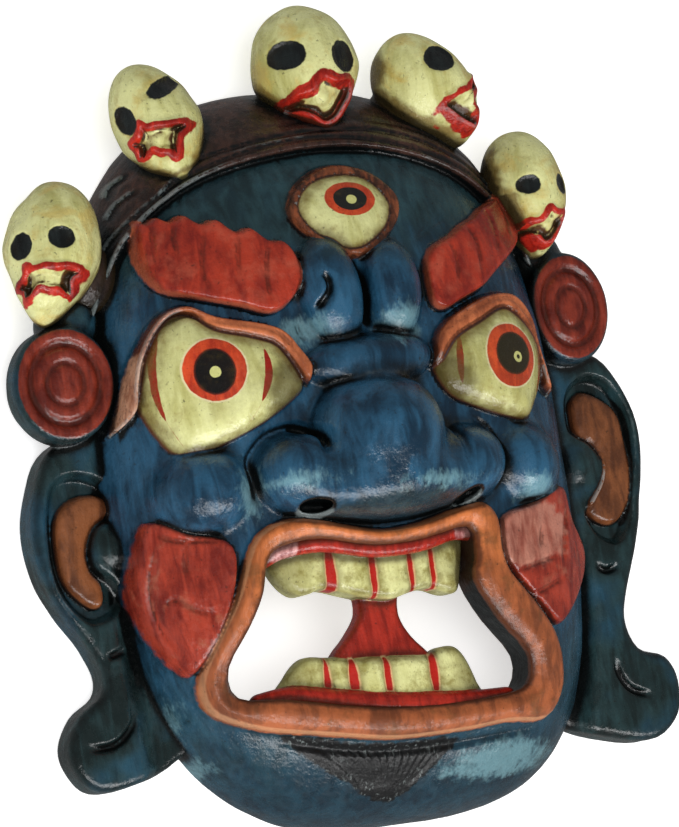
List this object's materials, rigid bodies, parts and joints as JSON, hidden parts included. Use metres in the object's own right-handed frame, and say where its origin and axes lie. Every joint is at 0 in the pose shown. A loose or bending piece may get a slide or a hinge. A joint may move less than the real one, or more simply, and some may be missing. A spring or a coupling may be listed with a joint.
{
  "type": "carved ceremonial mask",
  "caption": "Carved and painted wooden mask of a wrathful deity's face, hollow behind, with an open toothed mouth, long ears and small skulls along its hair band.",
  "frame": {"origin": "middle of the mask's bounding box, on the table it lies on", "axes": "+Y from the chin to the crown, +Z out of the face, +X to the viewer's right as one looks at the face"},
  "size_m": [0.2722, 0.3308, 0.0938],
  "materials": {
    "painted_wood": "glossy varnish over paint"
  },
  "bodies": {
    "root": {"mask": "painted_wood"}
  },
  "joints": []
}
